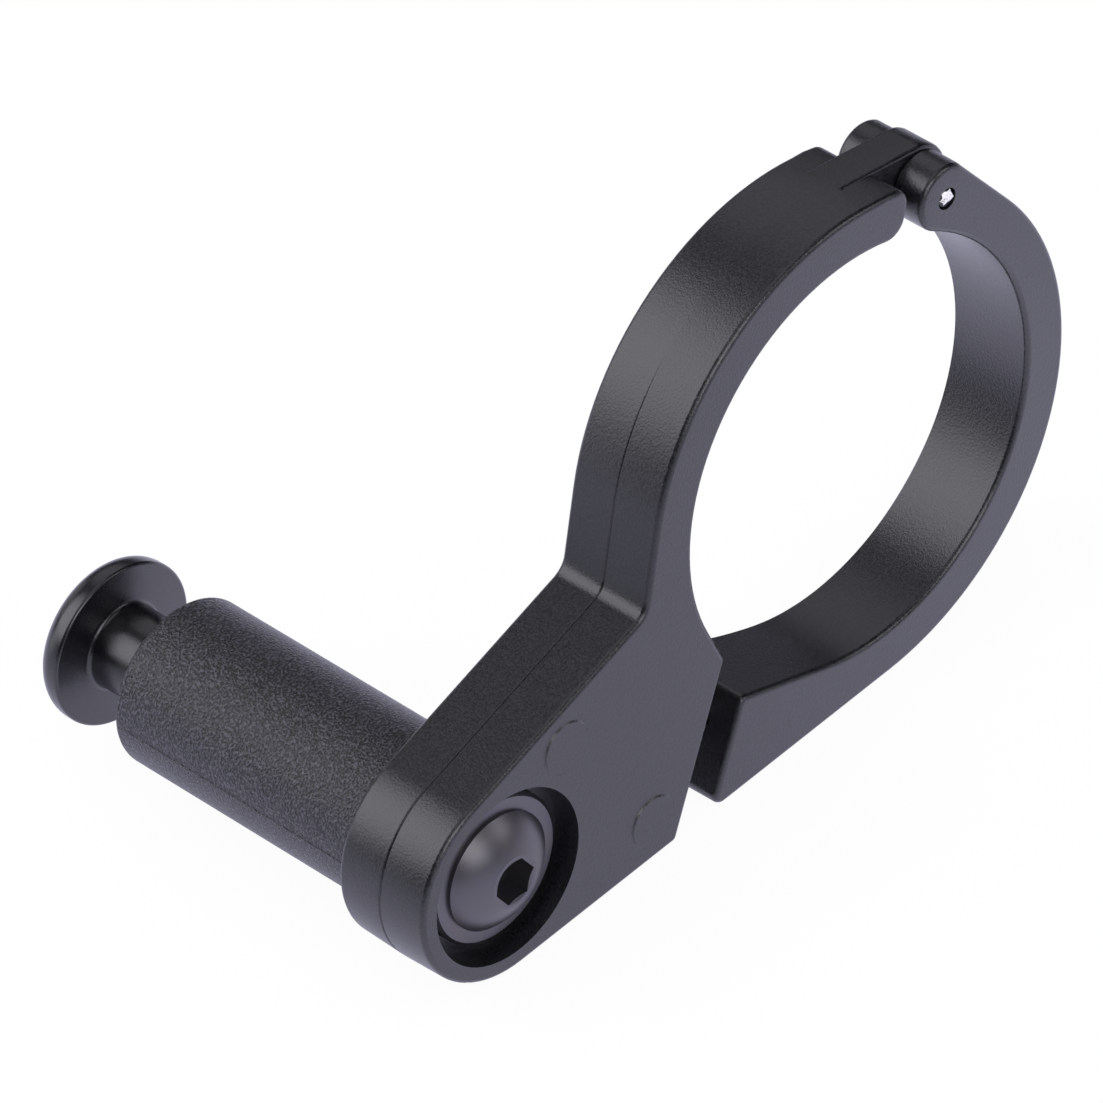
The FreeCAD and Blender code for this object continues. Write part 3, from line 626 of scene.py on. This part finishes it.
def make_floor():
    """A round pale floor under the part."""
    mesh = bpy.data.meshes.new("floor")
    ring = [(FLOOR_RADIUS * MM * math.cos(2 * math.pi * k / FLOOR_SIDES),
             FLOOR_RADIUS * MM * math.sin(2 * math.pi * k / FLOOR_SIDES),
             FLOOR_LEVEL * MM) for k in range(FLOOR_SIDES)]
    mesh.from_pydata(ring, [], [range(FLOOR_SIDES)])
    floor = bpy.data.objects.new("floor", mesh)
    bpy.context.scene.collection.objects.link(floor)
    mesh.materials.append(floor_paper())


def floor_paper():
    """White paper under cool daylight: it reads as white and takes a soft shadow.

    In the part's gloss it shows instead a painted glow, a cool white pool of light that is stronger along a
    direction and fades far off.
    """
    material, tree, place = new_material("white_paper")
    path = add(tree, "ShaderNodeLightPath")
    seen = add(tree, "ShaderNodeMath", {"operation": "MAXIMUM"}, i0=path.outputs["Is Camera Ray"],
               i1=path.outputs["Is Transmission Ray"])
    mirrored = path.outputs["Is Glossy Ray"]
    share = add(tree, "ShaderNodeMath", {"operation": "MAXIMUM"}, i0=seen.outputs[0], i1=mirrored)
    share = add(tree, "ShaderNodeMath", {"operation": "MULTIPLY"}, i0=share.outputs[0],
                i1=PAPER_PLAIN)
    # Painted pool of light, seen only by glossy rays: the glow is stronger along a direction and weaker far off
    along = add(tree, "ShaderNodeVectorMath", {"operation": "DOT_PRODUCT"}, i0=place,
                i1=PAINTED_GLOW_DIRECTION)
    cool = add(tree, "ShaderNodeMapRange", Value=along.outputs["Value"], i1=PAINTED_GLOW_SPAN[0] * MM,
               i2=PAINTED_GLOW_SPAN[1] * MM, i3=PAINTED_GLOW_LEVEL[0], i4=PAINTED_GLOW_LEVEL[1])
    away = add(tree, "ShaderNodeVectorMath", {"operation": "LENGTH"}, i0=place)
    fall = add(tree, "ShaderNodeMapRange", Value=away.outputs["Value"], i1=PAINTED_GLOW_FADE[0] * MM,
               i2=PAINTED_GLOW_FADE[1] * MM, i3=1.0, i4=PAINTED_GLOW_FAR)
    cool = add(tree, "ShaderNodeMath", {"operation": "MULTIPLY"}, i0=cool.outputs["Result"],
               i1=fall.outputs["Result"])
    strength = add(tree, "ShaderNodeMix", {"data_type": "FLOAT"}, i0=mirrored, i2=PAPER_WHITE,
                   i3=cool.outputs[0])
    # Painted cool reflection tint: glossy rays see the paper lavender-white, while the eye sees it white
    tint = add(tree, "ShaderNodeMix", {"data_type": "RGBA"}, i0=mirrored,
               i6=linear("#ffffff"), i7=linear("#e6e5ff"))
    paper = add(tree, "ShaderNodeBsdfDiffuse", Color=linear("#f0f0f6"))
    glow = add(tree, "ShaderNodeEmission", Color=tint.outputs[2], Strength=strength.outputs[0])
    finish_material(tree, add(tree, "ShaderNodeMixShader", Fac=share.outputs[0],
                              i1=paper.outputs[0], i2=glow.outputs[0]))
    return material


def soft_light(name, direction, distance, size, watts):
    """A square softbox of cool daylight that looks at the part from one direction."""
    data = bpy.data.lights.new(name, "AREA")
    data.color = linear(DAYLIGHT)[:3]
    data.size = size
    data.energy = watts
    lamp = bpy.data.objects.new(name, data)
    towards = Vector(direction).normalized()
    lamp.location = towards * distance
    lamp.rotation_euler = (-towards).to_track_quat("-Z", "Y").to_euler()
    bpy.context.scene.collection.objects.link(lamp)


def make_world():
    """An even studio: white to the eye, a soft fill for the part, and dark in its gloss."""
    world = bpy.data.worlds.new("studio")
    bpy.context.scene.world = world
    world.use_nodes = True
    tree = world.node_tree
    tree.nodes.clear()
    path = add(tree, "ShaderNodeLightPath")
    seen = add(tree, "ShaderNodeMath", {"operation": "MAXIMUM"}, i0=path.outputs["Is Camera Ray"],
               i1=path.outputs["Is Transmission Ray"])
    fill = add(tree, "ShaderNodeMath", {"operation": "MULTIPLY"},
               i0=path.outputs["Is Diffuse Ray"], i1=STUDIO_LEVEL)
    level = add(tree, "ShaderNodeMath", {"operation": "MAXIMUM"}, i0=seen.outputs[0],
                i1=fill.outputs[0])
    glow = add(tree, "ShaderNodeBackground", Color=linear("#ffffff"), Strength=level.outputs[0])
    add(tree, "ShaderNodeOutputWorld", Surface=glow.outputs[0])


nylon = moulded_nylon()
oxide = oxide_steel()
body = drafted("clamp_body", "drafted_body", body_line(), nylon)
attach(body, "bracket")
strap = drafted("clamp_strap", "drafted_strap", strap_line(), nylon)
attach(strap, "strap")
dress(nylon, "clamp_body", "clamp_strap")
grit = textured_nylon()
dress(grit, "spacer_sleeve")
coat = coated_metal()
dress(coat, "lamp_nut")
turned_spool(coat)
dress(oxide, "lamp_screw", "clamp_screw")
dress(drawn_steel(), "hinge_pin")
dress(insert_brass(), "clamp_insert")
screw_thread(oxide)
torn_pin_ends(sheared_steel())
sleeve_seam(grit)

make_camera()
make_floor()
make_world()
for softbox, (direction, distance, size, watts) in SOFTBOXES.items():
    soft_light(softbox, direction, distance, size, watts)

bpy.context.scene.view_settings.view_transform = "Standard"
